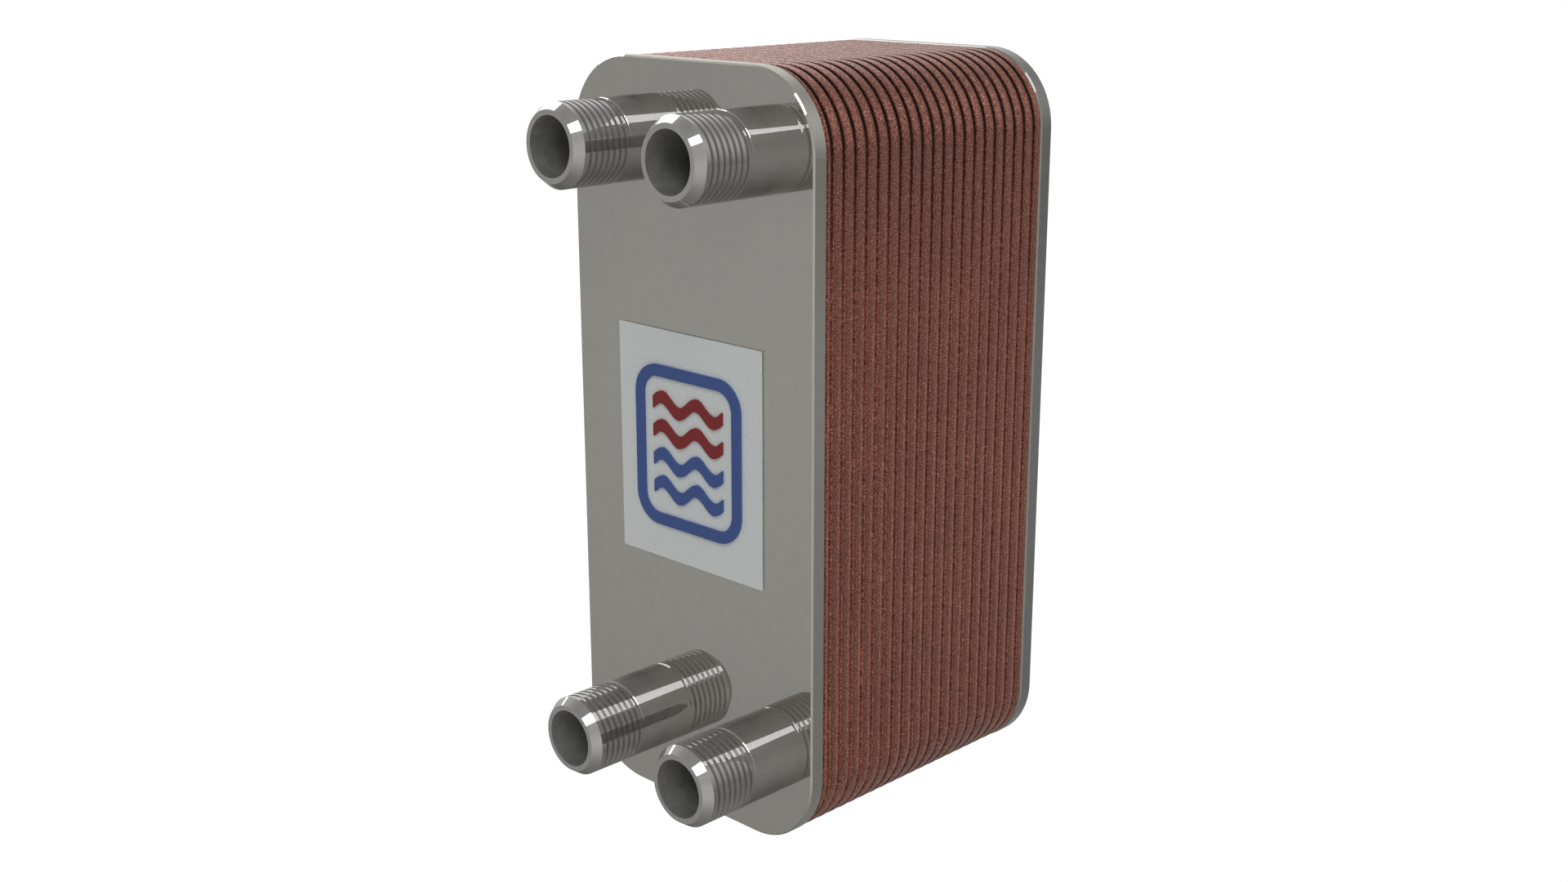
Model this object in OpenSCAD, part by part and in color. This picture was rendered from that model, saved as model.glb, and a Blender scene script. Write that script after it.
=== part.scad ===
// Brazed plate heat exchanger.
// Each sub-part is drawn lying on its back: x across, y up the plate and z up the stack, from the rear
// cover's outer face at z = 0 to the connections' mouths. upright() then stands the stack on its short end,
// with the connections facing -Y and the ground at z = 0.

/* [Plates] */
// Height of the plates
plate_h = 193; // [180:1:260]
// Width of the plates
plate_w = 84.2; // [80:0.1:110]
// Outer corner radius of the plates
corner_r = 19.8; // [16:0.1:24]
// Thickness of each cover plate
cover_t = 4.4; // [3:0.1:8]
// Bevel on the cover plates' edges
cover_bevel = 0.4; // [0.2:0.1:0.8]

/* [Plate pack] */
// Number of corrugated channel plates
channel_plates = 20; // [4:1:30]
// Depth that each channel plate adds to the stack
plate_pitch = 3.94; // [3.5:0.01:4.5]
// Thickness of the pressed sheet
sheet_t = 0.4; // [0.3:0.05:0.5]
// Length over which each skirt covers the next plate
skirt_overlap = 2.15; // [1.2:0.05:2.4]
// How far the skirts' lips stay inside the cover plates' outline
lip_inset = 0.15; // [0.1:0.05:0.5]
// How far each skirt draws in over one pitch, from its free edge towards its fold
skirt_draw = 0.62; // [0.6:0.02:1.2]
// Radius of the skirts' rounded free edge
lip_r = 0.25; // [0.15:0.05:0.3]

/* [Corrugation] */
// Distance between two ridges, square to them
ridge_pitch = 14; // [10:0.5:18]
// Width of the flat land along each ridge
ridge_land = 1.4; // [1:0.1:2]
// Slope of the chevron's arms
chevron_angle = 30; // [20:1:45]

/* [Ports and connections] */
// Distance between the ports across the plate
port_spacing_x = 41.7; // [40:0.1:48]
// Distance between the ports along the plate
port_spacing_y = 152.8; // [150:0.1:160]
// Radius of the port holes in the plates
port_r = 8; // [7.6:0.1:8.8]
// Outer radius of the pressed seat round each port
seat_r = 12.4; // [11.5:0.1:13]
// Length of each connection in front of the cover
nipple_l = 25; // [20:1:40]
// Radius of each connection's bore
nipple_bore_r = 7.5; // [6.5:0.1:7.9]
// Major radius of the pipe thread
thread_r = 10.4775; // [10.4775:0.0001:10.4778]
// Pitch of the pipe thread
thread_pitch = 1.814; // [1.814:0.001:1.815]
// Number of thread grooves
thread_turns = 8; // [5:1:9]
// Depth of the thread grooves
thread_depth = 0.55; // [0.4:0.05:1.1]
// Length of the chamfer at the mouth
mouth_chamfer_l = 2.3; // [1.5:0.1:3]
// Outer radius of the flat ring at the mouth
mouth_r = 8.85; // [8.4:0.05:9.5]
// Radius of the spigot that sits in the front cover
spigot_r = 9; // [8.5:0.1:9.4]
// Thickness of the brazing metal round the spigot
braze_gap = 0.15; // [0.05:0.05:0.2]

/* [Nameplate] */
// Width of the nameplate
label_w = 51; // [40:1:60]
// Height of the nameplate
label_h = 60; // [50:1:80]
// Thickness of the nameplate
label_t = 0.6; // [0.4:0.1:1]
// Thickness of the adhesive behind the nameplate
adhesive_t = 0.1; // [0.05:0.05:0.2]
// Height of the raised pictogram
emblem_t = 0.7; // [0.4:0.1:1]

/* [Hidden] */
$fn = 72;
two_digits = function(i) str(i < 10 ? "0" : "", i);
NODES = concat(
    ["front_cover_plate", "rear_cover_plate", "front_sealing_plate", "rear_sealing_plate"],
    [for (i = [1:channel_plates]) str("channel_plate_", two_digits(i))],
    ["nipple_top_left", "nipple_top_right", "nipple_bottom_left", "nipple_bottom_right"],
    ["nipple_brazing", "plate_brazing"],
    ["nameplate_adhesive", "nameplate", "pictogram_frame", "hot_flow_lines", "cold_flow_lines"]
);
node = "all";

steel = [0.55, 0.54, 0.51];
copper = [0.55, 0.29, 0.22];
braze_copper = [0.62, 0.34, 0.25];
label_grey = [0.8, 0.82, 0.82];
signal_red = [0.6, 0.12, 0.12];
signal_blue = [0.22, 0.33, 0.62];

// Heights in the stack
pack_h = 2 * sheet_t + channel_plates * plate_pitch;
front_cover_z = cover_t + pack_h;
face_z = front_cover_z + cover_t;
mouth_z = face_z + nipple_l;
first_base_z = front_cover_z - sheet_t;
skirt_l = plate_pitch + skirt_overlap;

// Corner centres of the plates' outline
corner_x = plate_w / 2 - corner_r;
corner_y = plate_h / 2 - corner_r;

// Skirt wall, seen in section: how far it lies inside the outline at a distance h from its free edge. It is
// widest a little behind the free edge, then draws in towards the fold, ever more steeply.
skirt_wall = 0.4;
widest_at = 0.3 * plate_pitch;
lip_tuck = 0.07;
draw_power = 3.5;
fold_chamfer = 0.25;
hidden_step = 0.1;
wall_bite = 0.2;
braze_l = 1.4;
fillet_l = 0.2;

// A port seat's ring, wall and corrugation overlap by this much, and its round seams are turned away from theirs
seat_step = 0.15;
seam_turn = 50;

// Pictogram: a rounded frame round two hot and two cold flow lines
frame_w = 38;
frame_h = 42;
frame_line = 3;
frame_r = 8;
flow_line_l = 25;
flow_line_swing = 1.7;
flow_line_w = 3.2;
flow_line_cycles = 2;
flow_line_spacing = 7.4;

function lip_round(h) = h >= lip_r ? 0 : lip_r - sqrt(lip_r * lip_r - pow(lip_r - h, 2));
function drawn_in(h) = h < widest_at
    ? lip_tuck * pow(1 - max(h, 0) / widest_at, 2)
    : skirt_draw * pow((min(h, plate_pitch) - widest_at) / (plate_pitch - widest_at), draw_power);
function skirt_out(h) = lip_inset + drawn_in(h) + lip_round(max(h, 0))
    + hidden_step * max(h - plate_pitch, 0) / skirt_overlap;
function skirt_in(h) = lip_inset + drawn_in(h) + skirt_wall;

// Heights at which the skirt's outer face has a point, from a start height to the fold
lip_steps = [0, 0.07, lip_r];
face_steps = concat(
    widest_at,
    skirt_overlap,
    [for (t = [0.75, 0.87, 0.95, 1]) t * plate_pitch]
);
function outer_steps(h0, h1) = concat([h0], [for (h = concat(lip_steps, face_steps)) if (h > h0 && h < h1) h]);

function skirt_outer(h0, h1) = [for (h = outer_steps(h0, h1 - fold_chamfer)) [skirt_out(h), h]];
function skirt_fold(h1) = [[skirt_out(h1 - fold_chamfer), h1 - fold_chamfer], [skirt_out(h1) + fold_chamfer, h1]];
function skirt_inner(h0, h1) = [
    for (t = [1, 0.85, 0.7, 0.3])
        let (h = t * plate_pitch) if (h > h0 && h < h1) [skirt_in(h), h],
    [skirt_in(h0), h0]
];
function skirt_section(h0, h1) = concat(
    skirt_outer(h0, h1),
    skirt_fold(h1),
    [[skirt_in(h1), h1]],
    skirt_inner(h0, h1)
);

// A section as points of [inset, height], turned into points measured from a corner's centre
function from_corner(section, lift = 0) = [for (p = section) [corner_r - p[0], p[1] + lift]];

// One corner and the straight side that starts there, four times round the outline
module round_outline(depth_at_side = undef) {
    centres = [[1, 1], [-1, 1], [-1, -1], [1, -1]];
    for (i = [0:3]) {
        side_l = 2 * (i % 2 == 0 ? corner_y : corner_x);
        translate([centres[i][0] * corner_x, centres[i][1] * corner_y, 0])
            rotate([0, 0, 90 * i]) {
                rotate_extrude(angle = 90) children(0);
                rotate([90, 0, 0]) linear_extrude(side_l) children(i % 2 == 0 ? 1 : 2);
            }
    }
}

module sweep(section, lift = 0) {
    points = from_corner(section, lift);
    round_outline() {
        polygon(points);
        polygon(points);
        polygon(points);
    }
}

// Solid plug whose outside follows a section's outer points: it runs to the corner's centre at the corners
// and the short sides, and to the middle of the plate at the long sides
module plug(outer, lift = 0) {
    last = len(outer) - 1;
    at_corner = concat(outer, [[corner_r, outer[last][1]], [corner_r, outer[0][1]]]);
    at_side = concat(outer, [[plate_w / 2, outer[last][1]], [plate_w / 2, outer[0][1]]]);
    round_outline() {
        polygon(from_corner(at_corner, lift));
        polygon(from_corner(at_side, lift));
        polygon(from_corner(at_corner, lift));
    }
}

module slab(inset, z0, z1) {
    plug([[inset, z0], [inset, z1]]);
}

module at_ports() {
    for (sx = [-1, 1], sy = [-1, 1])
        translate([sx * port_spacing_x / 2, sy * port_spacing_y / 2, 0]) children();
}

module cover(z0) {
    plug([
        [cover_bevel, z0],
        [0, z0 + cover_bevel],
        [0, z0 + cover_t - cover_bevel],
        [cover_bevel, z0 + cover_t]
    ]);
}

module front_cover_plate() {
    color(steel) difference() {
        cover(front_cover_z);
        at_ports() translate([0, 0, front_cover_z - 1]) cylinder(r = spigot_r + braze_gap, h = cover_t + 2);
    }
}

module rear_cover_plate() {
    color(steel) cover(0);
}

// The pack's plates are drawn with their skirts hanging down, and turned over so that the skirts reach
// forward, each one round the plate in front of it
module turned_over() {
    translate([0, 0, 2 * cover_t + pack_h]) rotate([180, 0, 0]) children();
}

module front_sealing_plate() {
    color(copper) turned_over() difference() {
        slab(2 * lip_inset, cover_t, cover_t + sheet_t);
        at_ports() translate([0, 0, cover_t - 1]) cylinder(r = port_r, h = sheet_t + 2);
    }
}

// Flat plate with a short skirt, between the last channel plate and the rear cover
module rear_sealing_plate() {
    free_edge = first_base_z - skirt_overlap;
    color(copper) turned_over() {
        sweep(skirt_section(0, skirt_overlap + sheet_t), free_edge);
        slab(skirt_out(skirt_overlap) + wall_bite, first_base_z, front_cover_z);
    }
}

// Trapezoid wave in section: ridges of one pitch, one sheet thick
wave_count = ceil((plate_h * cos(chevron_angle) + plate_w * sin(chevron_angle)) / ridge_pitch / 2) * 2;
wave_rise = plate_pitch - sheet_t;
function wave_turns() = [
    for (i = [-wave_count / 2:wave_count / 2 - 1])
        each [
            [i * ridge_pitch, 0],
            [i * ridge_pitch + ridge_land, 0],
            [(i + 0.5) * ridge_pitch, 1],
            [(i + 0.5) * ridge_pitch + ridge_land, 1]
        ]
];
function wave_line(lift) = [for (t = wave_turns()) [t[0], t[1] * wave_rise + lift]];
function backwards(points) = [for (i = [len(points) - 1:-1:0]) points[i]];
function wave_band() = concat(wave_line(0), backwards(wave_line(sheet_t)));
function closed_at(h) = let (line = wave_line(sheet_t / 2), last = len(line) - 1) concat(
    line,
    [[line[last][0], h], [line[0][0], h]]
);

module along_chevron() {
    rotate([0, 0, 90 + chevron_angle]) rotate([90, 0, 0])
        linear_extrude(2 * plate_h, center = true) children();
}

module corrugated_half() {
    intersection() {
        along_chevron() polygon(wave_band());
        translate([0, -plate_h / 2, -1]) cube([plate_w / 2, plate_h, plate_pitch + 2]);
    }
}

module ring(r_out, r_in, h) {
    difference() {
        cylinder(r = r_out, h = h);
        translate([0, 0, -1]) cylinder(r = r_in, h = h + 2);
    }
}

// Seats of the two ports in the +x half: a flat ring at the upper or lower level, joined to the corrugation
// by a wall that closes only the gap between them, so that the channel on the other side stays open
module port_seats(upper) {
    level = upper ? plate_pitch - sheet_t : 0;
    for (sy = [-1, 1]) {
        at_port = [port_spacing_x / 2, sy * port_spacing_y / 2, 0];
        translate(at_port + [0, 0, level]) rotate([0, 0, seam_turn]) ring(seat_r - seat_step, port_r, sheet_t);
        intersection() {
            translate(at_port) rotate([0, 0, seam_turn]) ring(seat_r, seat_r - skirt_wall, plate_pitch);
            along_chevron() polygon(closed_at(upper ? plate_pitch + 1 : -1));
        }
    }
}

// One pressed plate, with its lower crests at height 0 and its skirt hanging skirt_overlap below them.
// free_h is how much of the skirt's free edge is cut away.
module channel_plate(free_h = 0) {
    union() {
        sweep(skirt_section(free_h, skirt_l), -skirt_overlap);
        intersection() {
            plug([
                for (h = concat(skirt_overlap, [for (f = face_steps) if (f > skirt_overlap) f], skirt_l))
                    [skirt_out(h) + wall_bite, h]
            ], -skirt_overlap);
            difference() {
                union() {
                    corrugated_half();
                    mirror([1, 0, 0]) corrugated_half();
                }
                at_ports() translate([0, 0, -1]) cylinder(r = seat_r - 2 * seat_step, h = plate_pitch + 2);
            }
        }
        port_seats(false);
        mirror([1, 0, 0]) port_seats(true);
    }
}

// Every second plate is turned half round, so that the chevrons cross and the port seats change sides
module channel_plate_in_stack(i) {
    from_rear = channel_plates + 1 - i;
    crest_z = first_base_z - from_rear * plate_pitch;
    color(copper) turned_over() translate([0, 0, crest_z]) rotate([0, 0, i % 2 == 0 ? 180 : 0])
        channel_plate(i == 1 ? skirt_overlap : 0);
}

// Brazing metal between each skirt and the plate nested in it
module braze_ring(free_edge) {
    steps = [braze_l, 0.7 * braze_l, 0.4 * braze_l, 0.05];
    inner_face = [for (h = steps) [skirt_in(h), h]];
    next_plate = [for (h = [0, 0.5 * braze_l, braze_l]) [skirt_out(h + plate_pitch), h]];
    groove = [for (h = [-fillet_l, -0.5 * fillet_l]) [skirt_out(h + plate_pitch), h]];
    sweep(concat(inner_face, groove, next_plate), free_edge);
}

module plate_brazing() {
    color(braze_copper) turned_over() for (i = [0:channel_plates - 1])
        braze_ring(first_base_z - skirt_overlap - i * plate_pitch);
}

// Turned connection: mouth ring, chamfer, thread grooves, plain barrel, shoulder and spigot
module nipple() {
    thread_top = mouth_z - mouth_chamfer_l;
    groove_half = thread_pitch * 0.33;
    grooves = [
        for (i = [0:thread_turns - 1])
            let (z = thread_top - (i + 0.5) * thread_pitch)
                each [[thread_r, z + groove_half], [thread_r - thread_depth, z], [thread_r, z - groove_half]]
    ];
    rotate_extrude() polygon(concat(
        [[nipple_bore_r, mouth_z], [mouth_r, mouth_z], [thread_r, thread_top]],
        grooves,
        [[thread_r, face_z], [spigot_r, face_z], [spigot_r, front_cover_z], [nipple_bore_r, front_cover_z]]
    ));
}

module nipple_at(sx, sy) {
    color(steel) translate([sx * port_spacing_x / 2, sy * port_spacing_y / 2, 0]) nipple();
}

module nipple_brazing() {
    color(braze_copper) at_ports() translate([0, 0, front_cover_z]) difference() {
        cylinder(r = spigot_r + braze_gap, h = cover_t);
        translate([0, 0, -1]) cylinder(r = spigot_r, h = cover_t + 2);
    }
}

module centred_plate(w, h, z0, t) {
    translate([-w / 2, -h / 2, z0]) cube([w, h, t]);
}

module nameplate_adhesive() {
    margin = 1;
    color("white") centred_plate(label_w - 2 * margin, label_h - 2 * margin, face_z, adhesive_t);
}

module nameplate() {
    color(label_grey) centred_plate(label_w, label_h, face_z + adhesive_t, label_t);
}

emblem_z = face_z + adhesive_t + label_t;

// Flat rounded rectangle made of bars and round corners
module rounded_rectangle(w, h, r) {
    square([w, h - 2 * r], center = true);
    square([w - 2 * r, h], center = true);
    for (sx = [-1, 1], sy = [-1, 1]) translate([sx * (w / 2 - r), sy * (h / 2 - r)]) circle(r);
}

module pictogram_frame() {
    color(signal_blue) translate([0, 0, emblem_z]) linear_extrude(emblem_t) difference() {
        rounded_rectangle(frame_w, frame_h, frame_r);
        rounded_rectangle(frame_w - 2 * frame_line, frame_h - 2 * frame_line, frame_r - frame_line);
    }
}

function swing(t) = flow_line_swing * sin(360 * flow_line_cycles * t);

// Band that swings from side to side along x
module flow_line(y) {
    steps = 28;
    translate([0, y, emblem_z]) linear_extrude(emblem_t) polygon(concat(
        [for (i = [0:steps]) [(i / steps - 0.5) * flow_line_l, swing(i / steps) - flow_line_w / 2]],
        [for (i = [steps:-1:0]) [(i / steps - 0.5) * flow_line_l, swing(i / steps) + flow_line_w / 2]]
    ));
}

module hot_flow_lines() {
    color(signal_red) for (n = [0.5, 1.5]) flow_line(n * flow_line_spacing);
}

module cold_flow_lines() {
    color(signal_blue) for (n = [0.5, 1.5]) flow_line(-n * flow_line_spacing);
}

module upright() {
    translate([0, mouth_z / 2, plate_h / 2]) rotate([90, 0, 0]) children();
}

function shows(name) = node == "all" || node == name;

if (shows("front_cover_plate")) upright() front_cover_plate();
if (shows("rear_cover_plate")) upright() rear_cover_plate();
if (shows("front_sealing_plate")) upright() front_sealing_plate();
if (shows("rear_sealing_plate")) upright() rear_sealing_plate();
for (i = [1:channel_plates])
    if (shows(str("channel_plate_", two_digits(i)))) upright() channel_plate_in_stack(i);
if (shows("nipple_top_left")) upright() nipple_at(-1, 1);
if (shows("nipple_top_right")) upright() nipple_at(1, 1);
if (shows("nipple_bottom_left")) upright() nipple_at(-1, -1);
if (shows("nipple_bottom_right")) upright() nipple_at(1, -1);
if (shows("nipple_brazing")) upright() nipple_brazing();
if (shows("plate_brazing")) upright() plate_brazing();
if (shows("nameplate_adhesive")) upright() nameplate_adhesive();
if (shows("nameplate")) upright() nameplate();
if (shows("pictogram_frame")) upright() pictogram_frame();
if (shows("hot_flow_lines")) upright() hot_flow_lines();
if (shows("cold_flow_lines")) upright() cold_flow_lines();
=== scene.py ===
"""Brazed plate heat exchanger: steel cover plates, a copper-brazed pack of plates, four threaded connections
and a nameplate with a flow pictogram. Everything is in metres in the CAD frame."""

import math

import bmesh
import bpy
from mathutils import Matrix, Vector


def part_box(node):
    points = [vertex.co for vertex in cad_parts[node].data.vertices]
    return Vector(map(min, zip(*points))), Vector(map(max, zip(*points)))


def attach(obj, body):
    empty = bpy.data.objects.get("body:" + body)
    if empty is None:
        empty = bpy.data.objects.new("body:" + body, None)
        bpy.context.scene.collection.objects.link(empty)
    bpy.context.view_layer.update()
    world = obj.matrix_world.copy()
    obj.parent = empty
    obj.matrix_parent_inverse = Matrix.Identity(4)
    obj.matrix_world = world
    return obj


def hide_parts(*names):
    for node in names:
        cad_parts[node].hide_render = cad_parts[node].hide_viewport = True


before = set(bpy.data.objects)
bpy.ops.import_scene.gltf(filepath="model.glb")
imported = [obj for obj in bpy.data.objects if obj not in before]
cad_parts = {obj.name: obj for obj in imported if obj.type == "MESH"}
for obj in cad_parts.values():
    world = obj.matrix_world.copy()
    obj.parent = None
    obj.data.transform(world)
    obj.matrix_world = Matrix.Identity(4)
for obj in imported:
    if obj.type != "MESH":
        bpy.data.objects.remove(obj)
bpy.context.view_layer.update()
MM = 0.001

scene = bpy.context.scene
scene.view_settings.view_transform = "Standard"
scene.view_settings.look = "None"
scene.view_settings.exposure = 0.0
scene.view_settings.gamma = 1.0

CHANNEL_PLATES = sorted(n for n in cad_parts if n.startswith("channel_plate_"))
NIPPLES = ("top_left", "top_right", "bottom_left", "bottom_right")
# Each channel plate's skirt starts one pitch behind the one before it. The first plate's is cut short.
FIRST_EDGE_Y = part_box(CHANNEL_PLATES[1])[0].y
PLATE_PITCH = (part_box(CHANNEL_PLATES[-1])[0].y - FIRST_EDGE_Y) / (len(CHANNEL_PLATES) - 2)


# ---------------------------------------------------------------- shader nodes
def new_material(name):
    mat = bpy.data.materials.new(name)
    mat.use_nodes = True
    nodes = mat.node_tree.nodes
    nodes.clear()
    out = nodes.new("ShaderNodeOutputMaterial")
    shader = nodes.new("ShaderNodeBsdfPrincipled")
    mat.node_tree.links.new(shader.outputs[0], out.inputs[0])
    return mat, nodes, mat.node_tree.links, shader


def feed(links, socket, value):
    """Link a node's output to a socket, or set the socket to a number or a colour."""
    if isinstance(value, bpy.types.NodeSocket):
        links.new(value, socket)
    elif isinstance(value, (int, float)):
        socket.default_value = value
    else:
        socket.default_value = (*value, 1.0)


def object_coords(nodes):
    return nodes.new("ShaderNodeTexCoord").outputs["Object"]


def separate(nodes, links, vector):
    node = nodes.new("ShaderNodeSeparateXYZ")
    links.new(vector, node.inputs[0])
    return node.outputs


def maths(nodes, links, operation, a, b=0.0):
    node = nodes.new("ShaderNodeMath")
    node.operation = operation
    feed(links, node.inputs[0], a)
    feed(links, node.inputs[1], b)
    return node.outputs[0]


def noise(nodes, links, vector, scale, detail, rough):
    node = nodes.new("ShaderNodeTexNoise")
    node.inputs["Scale"].default_value = scale
    node.inputs["Detail"].default_value = detail
    node.inputs["Roughness"].default_value = rough
    links.new(vector, node.inputs["Vector"])
    return node.outputs["Fac"]


def ramp(nodes, links, fac, stops):
    """Colour ramp from (place, colour) stops. A colour is an RGB triple, or one number for a grey."""
    node = nodes.new("ShaderNodeValToRGB")
    while len(node.color_ramp.elements) < len(stops):
        node.color_ramp.elements.new(0.5)
    for element, (place, colour) in zip(node.color_ramp.elements, stops):
        element.position = place
        element.color = (*colour, 1.0) if isinstance(colour, tuple) else (colour, colour, colour, 1.0)
    links.new(fac, node.inputs[0])
    return node.outputs[0]


def remap(nodes, links, value, lo, hi, from_lo=0.0, from_hi=1.0, smooth=False):
    node = nodes.new("ShaderNodeMapRange")
    node.interpolation_type = "SMOOTHSTEP" if smooth else "LINEAR"
    node.inputs["From Min"].default_value = from_lo
    node.inputs["From Max"].default_value = from_hi
    node.inputs["To Min"].default_value = lo
    node.inputs["To Max"].default_value = hi
    links.new(value, node.inputs["Value"])
    return node.outputs["Result"]


def mix_colour(nodes, links, fac, a, b, mode="MIX"):
    node = nodes.new("ShaderNodeMix")
    node.data_type = "RGBA"
    node.blend_type = mode
    factor, first, second = node.inputs[0], node.inputs[6], node.inputs[7]
    for socket, value in ((factor, fac), (first, a), (second, b)):
        feed(links, socket, value)
    return node.outputs[2]


def multiply(nodes, links, a, b):
    return mix_colour(nodes, links, 1.0, a, b, "MULTIPLY")


def bump(nodes, links, height, strength, distance, normal=None):
    node = nodes.new("ShaderNodeBump")
    node.inputs["Strength"].default_value = strength
    node.inputs["Distance"].default_value = distance
    links.new(height, node.inputs["Height"])
    if normal is not None:
        links.new(normal, node.inputs["Normal"])
    return node.outputs[0]


# ---------------------------------------------------------------- materials
def steel(name, base, roughness, mottle, mirror_ior, mirror_dull, grain_bump):
    """Ground steel: a rough metal body that holds the mottling, under a thin sharp mirror sheen."""
    mat, nodes, links, shader = new_material(name)
    vec = object_coords(nodes)
    fine = noise(nodes, links, vec, 2200.0, 3.0, 0.6)
    cloud = noise(nodes, links, vec, 260.0, 3.0, 0.55)
    tone = remap(nodes, links, fine, 1.0 - mottle, 1.0 + mottle, 0.3, 0.7)
    drift = remap(nodes, links, cloud, 1.0 - mottle, 1.0 + mottle, 0.3, 0.7)
    toned = multiply(nodes, links, base, tone)
    links.new(multiply(nodes, links, toned, drift), shader.inputs["Base Color"])
    shader.inputs["Metallic"].default_value = 1.0
    spread = remap(nodes, links, fine, roughness * 0.85, roughness * 1.15)
    links.new(spread, shader.inputs["Roughness"])
    mirror = remap(nodes, links, fine, 1.0, 1.0 - mirror_dull, 0.4, 0.62)
    links.new(mirror, shader.inputs["Coat Weight"])
    shader.inputs["Coat Roughness"].default_value = 0.02
    shader.inputs["Coat IOR"].default_value = mirror_ior
    links.new(bump(nodes, links, fine, grain_bump, 0.02 * MM), shader.inputs["Normal"])
    return mat


COVER = steel("cover_steel", (0.31, 0.29, 0.225), 0.6, 0.06, 3.6, 0.04, 0.25)
REAR = steel("rear_cover_steel", (0.24, 0.24, 0.225), 0.5, 0.06, 2.0, 0.2, 0.25)
BARREL = steel("connection_steel", (0.25, 0.25, 0.24), 0.6, 0.08, 3.9, 0.12, 0.4)
BORE = steel("connection_bore_steel", (0.47, 0.47, 0.45), 0.75, 0.12, 1.3, 0.3, 0.4)

# Painted light across a plate's band, from its free edge in front (0) to the next plate's edge (1): painted
# shade on the free edge, then on the seam a painted highlight low down and painted shade near the top
SEAM_PAINTED_HIGHLIGHT = ((0.0, 0.85), (0.1, 0.95), (0.75, 1.0), (0.9, 1.8))
SEAM_PAINTED_SHADE = ((0.0, 0.25), (0.06, 0.45), (0.13, 1.0), (0.68, 1.0), (0.82, 0.45), (1.0, 0.25))
# Heights over which the painted highlight on the seams turns into painted shade
PAINTED_HIGHLIGHT_BELOW_Z, PAINTED_SHADE_ABOVE_Z = 135.0 * MM, 182.0 * MM
# Whole bands taken off, so that the place across a band is counted up from below zero
BANDS_AHEAD = 50.0


def seam_painted_light(nodes, links, vector):
    """Painted light on the seams between the plates: a painted highlight low down and painted shade near the
    top.
    """
    place = separate(nodes, links, vector)
    along = maths(nodes, links, "SUBTRACT", place["Y"], FIRST_EDGE_Y - BANDS_AHEAD * PLATE_PITCH)
    across = maths(nodes, links, "FRACT", maths(nodes, links, "DIVIDE", along, PLATE_PITCH))
    painted_highlight = ramp(nodes, links, across, SEAM_PAINTED_HIGHLIGHT)
    painted_shade = ramp(nodes, links, across, SEAM_PAINTED_SHADE)
    height = remap(nodes, links, place["Z"], 0.0, 1.0, PAINTED_HIGHLIGHT_BELOW_Z, PAINTED_SHADE_ABOVE_Z)
    return mix_colour(nodes, links, height, painted_highlight, painted_shade)


def copper(name, dark, mid, light, roughness):
    """Grainy copper brazing film: grains of a few tenths of a millimetre, in clumps and wide clouds."""
    mat, nodes, links, shader = new_material(name)
    vec = object_coords(nodes)
    grains = noise(nodes, links, vec, 2600.0, 2.0, 0.65)
    clumps = noise(nodes, links, vec, 900.0, 2.0, 0.55)
    cloud = noise(nodes, links, vec, 40.0, 2.0, 0.5)
    colour = ramp(nodes, links, grains, ((0.36, dark), (0.50, mid), (0.64, light)))
    colour = multiply(nodes, links, colour, ramp(nodes, links, clumps, ((0.35, 0.82), (0.65, 1.12))))
    colour = multiply(nodes, links, colour, ramp(nodes, links, cloud, ((0.3, 0.93), (0.7, 1.05))))
    # Painted light: a painted highlight on the seams low down, and painted shade on them near the top and on
    # the free edges
    colour = multiply(nodes, links, colour, seam_painted_light(nodes, links, vec))
    links.new(colour, shader.inputs["Base Color"])
    shader.inputs["Metallic"].default_value = 0.85
    spread = remap(nodes, links, grains, roughness + 0.1, roughness - 0.1, 0.3, 0.7)
    links.new(spread, shader.inputs["Roughness"])
    clump_bump = bump(nodes, links, clumps, 0.2, 0.1 * MM)
    links.new(bump(nodes, links, grains, 0.3, 0.12 * MM, clump_bump), shader.inputs["Normal"])
    return mat


PACK = copper("pack_copper", (0.16, 0.053, 0.038), (0.36, 0.138, 0.10), (0.70, 0.34, 0.27), 0.32)
BRAZE = copper("brazing_copper", (0.07, 0.03, 0.022), (0.14, 0.06, 0.045), (0.3, 0.16, 0.12), 0.55)


def plastic(name, base, roughness, peel_scale, peel_bump, peel_depth, variation=0.04):
    """Plastic with an orange-peel surface, a little lighter on its hills."""
    mat, nodes, links, shader = new_material(name)
    peel = noise(nodes, links, object_coords(nodes), peel_scale, 2.0, 0.5)
    dark = tuple(c * (1.0 - variation) for c in base)
    light = tuple(min(1.0, c * (1.0 + variation)) for c in base)
    links.new(mix_colour(nodes, links, peel, dark, light), shader.inputs["Base Color"])
    shader.inputs["Roughness"].default_value = roughness
    links.new(bump(nodes, links, peel, peel_bump, peel_depth), shader.inputs["Normal"])
    return mat


PLATE_GREY = plastic("nameplate_grey", (0.85, 0.90, 0.90), 0.45, 1400.0, 0.8, 0.2 * MM)
BLUE = plastic("pictogram_blue", (0.055, 0.115, 0.36), 0.5, 3000.0, 0.2, 0.05 * MM, 0.08)
RED = plastic("pictogram_red", (0.27, 0.018, 0.018), 0.5, 3000.0, 0.2, 0.05 * MM, 0.08)
ADHESIVE = plastic("adhesive_white", (0.75, 0.75, 0.72), 0.6, 2000.0, 0.2, 0.05 * MM)


# ---------------------------------------------------------------- CAD nodes
def dress(mat, *node_names):
    for node_name in node_names:
        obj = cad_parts[node_name]
        for slot in obj.material_slots:
            slot.material = mat
        if not obj.material_slots:
            obj.data.materials.append(mat)


dress(COVER, "front_cover_plate")
dress(REAR, "rear_cover_plate")
dress(PACK, "front_sealing_plate", "rear_sealing_plate", *CHANNEL_PLATES)
dress(BRAZE, "nipple_brazing", "plate_brazing")
dress(PLATE_GREY, "nameplate")
dress(ADHESIVE, "nameplate_adhesive")
dress(BLUE, "pictogram_frame", "cold_flow_lines")
dress(RED, "hot_flow_lines")


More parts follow.
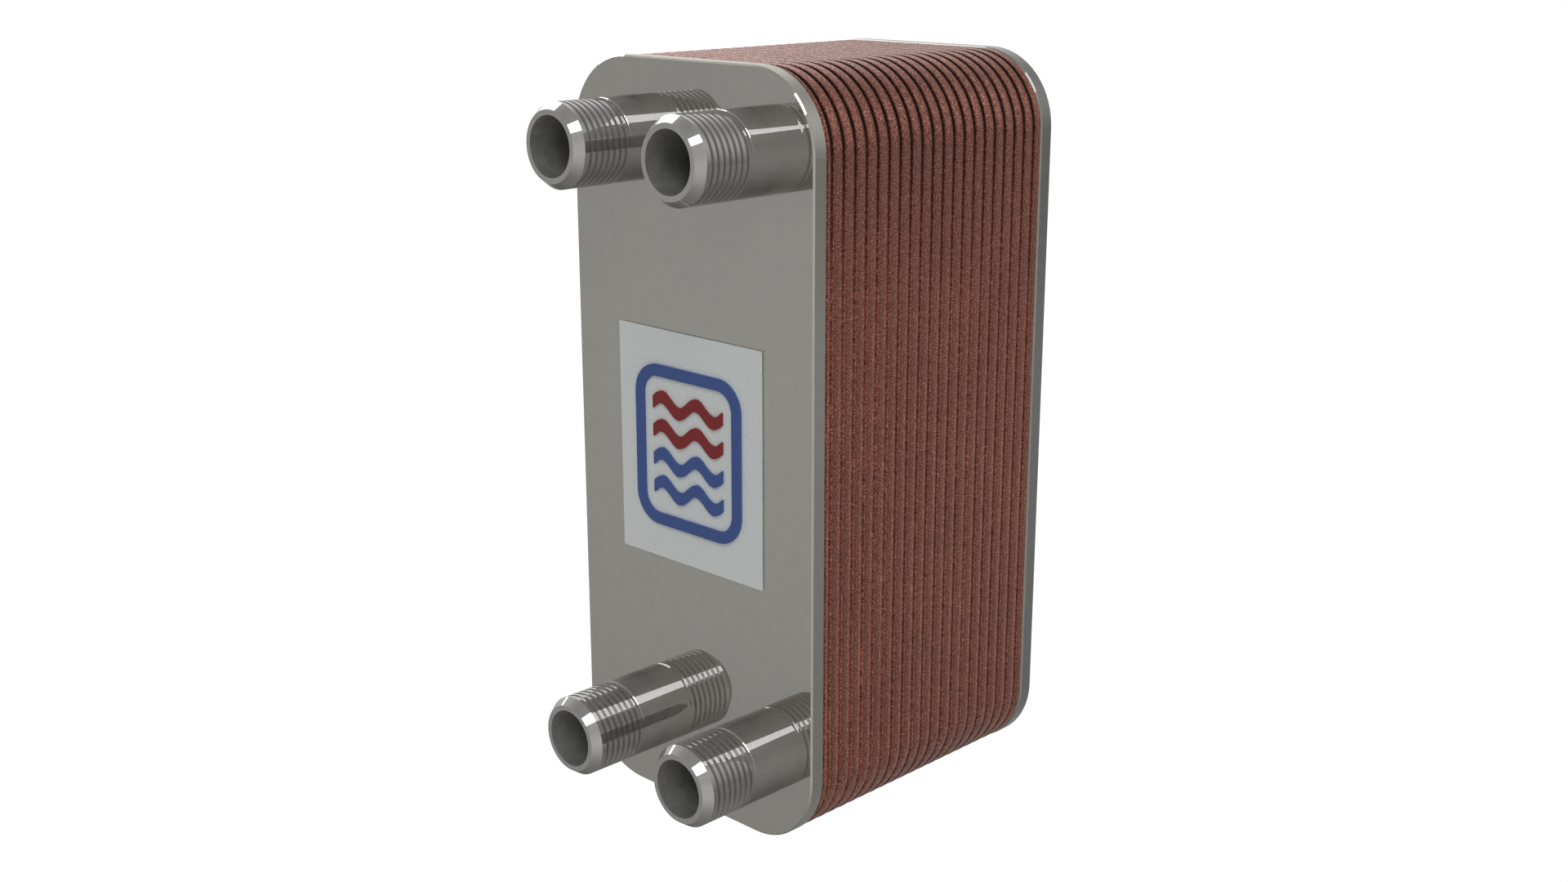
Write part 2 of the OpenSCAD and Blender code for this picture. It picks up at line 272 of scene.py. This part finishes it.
# ---------------------------------------------------------------- threaded connections
def mesh_object(name, verts, faces, mat, smooth_angle):
    mesh = bpy.data.meshes.new(name)
    mesh.from_pydata(verts, [], faces)
    mesh.validate()
    obj = bpy.data.objects.new(name, mesh)
    scene.collection.objects.link(obj)
    mesh.materials.append(mat)
    bm = bmesh.new()
    bm.from_mesh(mesh)
    bmesh.ops.remove_doubles(bm, verts=bm.verts, dist=0.0001 * MM)
    bmesh.ops.recalc_face_normals(bm, faces=bm.faces)
    limit = math.radians(smooth_angle)
    for f in bm.faces:
        f.smooth = True
    for e in bm.edges:
        e.smooth = len(e.link_faces) == 2 and e.calc_face_angle(0.0) < limit
    bm.to_mesh(mesh)
    bm.free()
    return obj


BORE_R = 7.5 * MM
MOUTH_R = 8.85 * MM
SPIGOT_R = 9.0 * MM
CHAMFER_L = 2.3 * MM
# G 1/2 pipe thread, with flanks at 27.5 degrees. FLANK is a flank's length as a share of the pitch.
THREAD_PITCH = 1.814 * MM
THREAD_TURNS = 8.0
THREAD_DEPTH = 0.82 * MM
FLANK = math.tan(math.radians(27.5)) * THREAD_DEPTH / THREAD_PITCH
# One turn of the thread as places along the pitch, and how deep the groove is there
THREAD_PROFILE = ((0.0, 0.0), (0.5 - FLANK, 0.0), (1.0 - 2.0 * FLANK, 0.0), (1.0 - FLANK, 1.0))
# Turns over which the groove deepens at the mouth and runs out at the barrel
RUN_IN, RUN_OUT = 0.35, 0.6
SEGMENTS = 192
# Narrow ring beside a sharp end, which keeps the smooth shading of the barrel straight
EDGE = 0.05 * MM
SMOOTH_BELOW = 28.0


def nipple(name):
    """Threaded connection: rings of points from the bore over the mouth and the thread to the spigot."""
    lo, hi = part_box("nipple_" + name)
    face_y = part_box("front_cover_plate")[0].y
    cx, cz = (lo.x + hi.x) / 2, (lo.z + hi.z) / 2
    major = (hi.x - lo.x) / 2
    start = lo.y + CHAMFER_L
    verts, faces = [], []

    def point(share, y, r):
        angle = 2 * math.pi * share
        verts.append((cx + r * math.sin(angle), y, cz + r * math.cos(angle)))

    def ring(y, r):
        first = len(verts)
        for k in range(SEGMENTS):
            point(k / SEGMENTS, y, r)
        return first

    def thread_ring(turn, place, depth):
        first = len(verts)
        for k in range(SEGMENTS):
            at = min(max(turn + place + k / SEGMENTS, 0.0), THREAD_TURNS)
            fade = min(1.0, at / RUN_IN, (THREAD_TURNS - at) / RUN_OUT)
            point(k / SEGMENTS, start + at * THREAD_PITCH, major - THREAD_DEPTH * depth * fade)
        return first

    def join(a, b):
        for k in range(SEGMENTS):
            j = (k + 1) % SEGMENTS
            faces.append((a + k, a + j, b + j, b + k))

    mouth = [ring(hi.y, BORE_R), ring(lo.y, BORE_R), ring(lo.y, MOUTH_R), ring(start, major)]
    thread = [
        thread_ring(turn, place, depth)
        for turn in range(-1, int(THREAD_TURNS) + 1)
        for place, depth in THREAD_PROFILE
    ]
    thread_end = start + THREAD_TURNS * THREAD_PITCH
    barrel = [ring(y, major) for y in (thread_end, thread_end + EDGE, face_y - EDGE, face_y)]
    spigot = [ring(y, SPIGOT_R) for y in (face_y, hi.y)]
    for rings in (mouth, [*barrel, *spigot, mouth[0]]):
        for a, b in zip(rings, rings[1:]):
            join(a, b)
    # The thread's rings climb by one pitch a turn, so each one's end meets the start of the ring a turn on
    a_turn = len(THREAD_PROFILE)
    last = SEGMENTS - 1
    for i, (a, b) in enumerate(zip(thread, thread[1:])):
        for k in range(last):
            faces.append((a + k, a + k + 1, b + k + 1, b + k))
        if i + a_turn + 1 < len(thread):
            faces.append((a + last, thread[i + a_turn], thread[i + a_turn + 1], b + last))

    obj = mesh_object("connection_" + name, verts, faces, BARREL, SMOOTH_BELOW)
    obj.data.materials.append(BORE)
    clear = 0.1 * MM
    for face in obj.data.polygons:
        from_axis = math.hypot(face.center.x - cx, face.center.z - cz)
        if from_axis < BORE_R + clear and face.center.y > lo.y + clear:
            face.material_index = 1
    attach(obj, "root")
    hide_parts("nipple_" + name)


for nipple_name in NIPPLES:
    nipple(nipple_name)


# ---------------------------------------------------------------- camera
def aim(obj, direction):
    obj.rotation_mode = "QUATERNION"
    obj.rotation_quaternion = Vector(direction).to_track_quat("-Z", "Y")


camera_data = bpy.data.cameras.new("camera")
camera = bpy.data.objects.new("camera", camera_data)
scene.collection.objects.link(camera)
camera.location = (0.33016, -0.33447, 0.22603)
YAW, PITCH = math.radians(44.5), math.radians(15.802)
aim(camera, (-math.sin(YAW) * math.cos(PITCH), math.cos(YAW) * math.cos(PITCH), -math.sin(PITCH)))
camera_data.sensor_width = 36.0
camera_data.lens = 42.746
camera_data.clip_start = 0.01
camera_data.clip_end = 50.0
scene.camera = camera

# ---------------------------------------------------------------- world
AMBIENT = 0.03
GLOWS = (  # direction, how tight, strength
    ((0.80, -0.55, -0.15), 3.0, 0.75),
    ((-0.66, -0.68, -0.20), 10.0, 0.56),
    ((0.0, 0.0, -1.0), 2.0, 0.25),
    ((0.55, 0.75, 0.30), 10.0, 0.65),
    ((-0.85, 0.45, 0.20), 6.0, 0.92),
    ((-0.50, 0.60, 0.62), 10.0, 0.45),
)
UP, DOWN, BACK = (0.0, 0.0, 1.0), (0.0, 0.0, -1.0), (0.0, 1.0, 0.0)
CEILING_FROM, CEILING_FULL, CEILING = 0.25, 0.70, 0.30
FLOOR_FROM, FLOOR_FULL = 0.12, 0.26
BACK_FLOOR_TIGHT, BACK_FLOOR = 4.0, 0.8
WORLD_TINT = (1.0, 0.99, 0.97)

world = bpy.data.worlds.new("studio")
scene.world = world
world.use_nodes = True
wn, wl = world.node_tree.nodes, world.node_tree.links
wn.clear()
w_out = wn.new("ShaderNodeOutputWorld")
w_bg = wn.new("ShaderNodeBackground")
w_geo = wn.new("ShaderNodeTexCoord")


def world_glow(direction, power, strength):
    """Soft glow towards a direction, as a smooth power of the cosine to it."""
    dot = wn.new("ShaderNodeVectorMath")
    dot.operation = "DOT_PRODUCT"
    wl.new(w_geo.outputs["Generated"], dot.inputs[0])
    dot.inputs[1].default_value = Vector(direction).normalized()
    cosine = maths(wn, wl, "MAXIMUM", dot.outputs["Value"], 0.0)
    return maths(wn, wl, "MULTIPLY", maths(wn, wl, "POWER", cosine, power), strength)


def world_step(direction, start, end, strength):
    """Brightness that sets in between two cosines to a direction."""
    return remap(wn, wl, world_glow(direction, 1.0, 1.0), 0.0, strength, start, end, smooth=True)


# Glows all round, a pale ceiling, and a floor behind the part that is lit nearby and dark at its far end
ceiling = world_step(UP, CEILING_FROM, CEILING_FULL, CEILING)
back_side = world_glow(BACK, BACK_FLOOR_TIGHT, BACK_FLOOR)
back_floor = maths(wn, wl, "MULTIPLY", world_step(DOWN, FLOOR_FROM, FLOOR_FULL, 1.0), back_side)
brightness = AMBIENT
for light in (*(world_glow(*glow) for glow in GLOWS), ceiling, back_floor):
    brightness = maths(wn, wl, "ADD", light, brightness)
wl.new(brightness, w_bg.inputs["Strength"])
feed(wl, w_bg.inputs["Color"], WORLD_TINT)
wl.new(w_bg.outputs[0], w_out.inputs[0])

# ---------------------------------------------------------------- softboxes
LIT_POINT = Vector((0.0, 0.0, 0.1))
SOFTBOX_DISTANCE = 2.5
SOFTBOX_RADIANCE = 4.0


def softbox(name, azimuth, elevation, width, height):
    """Rectangular light in a direction seen from the part: azimuth 0 is in front and grows towards +X."""
    data = bpy.data.lights.new(name, "AREA")
    data.shape = "RECTANGLE"
    data.size, data.size_y = width, height
    data.energy = SOFTBOX_RADIANCE * math.pi * width * height
    obj = bpy.data.objects.new(name, data)
    scene.collection.objects.link(obj)
    a, e = math.radians(azimuth), math.radians(elevation)
    direction = Vector((math.sin(a) * math.cos(e), -math.cos(a) * math.cos(e), math.sin(e)))
    obj.location = LIT_POINT + direction * SOFTBOX_DISTANCE
    aim(obj, -direction)


softbox("softbox_right", 39.0, 46.5, 1.10, 0.93)
softbox("softbox_left", -101.5, 36.0, 1.05, 2.02)

# ---------------------------------------------------------------- white floor
FLOOR_HALF = 6.0
FLOOR_WHITE = 1.05

corners = [(x * FLOOR_HALF, y * FLOOR_HALF, 0.0) for x, y in ((-1, -1), (1, -1), (1, 1), (-1, 1))]
floor_mesh = bpy.data.meshes.new("floor")
floor_mesh.from_pydata(corners, [], [(0, 1, 2, 3)])
floor = bpy.data.objects.new("floor", floor_mesh)
scene.collection.objects.link(floor)
# The floor shows white, and light and reflections pass through it to the world's own floor
floor_white = bpy.data.materials.new("floor_white")
floor_white.use_nodes = True
fn, fl = floor_white.node_tree.nodes, floor_white.node_tree.links
fn.clear()
f_out = fn.new("ShaderNodeOutputMaterial")
f_mix = fn.new("ShaderNodeMixShader")
f_path = fn.new("ShaderNodeLightPath")
f_clear = fn.new("ShaderNodeBsdfTransparent")
f_emit = fn.new("ShaderNodeEmission")
f_emit.inputs["Color"].default_value = (1.0, 1.0, 1.0, 1.0)
f_emit.inputs["Strength"].default_value = FLOOR_WHITE
fl.new(f_path.outputs["Is Camera Ray"], f_mix.inputs[0])
fl.new(f_clear.outputs[0], f_mix.inputs[1])
fl.new(f_emit.outputs[0], f_mix.inputs[2])
fl.new(f_mix.outputs[0], f_out.inputs[0])
floor_mesh.materials.append(floor_white)
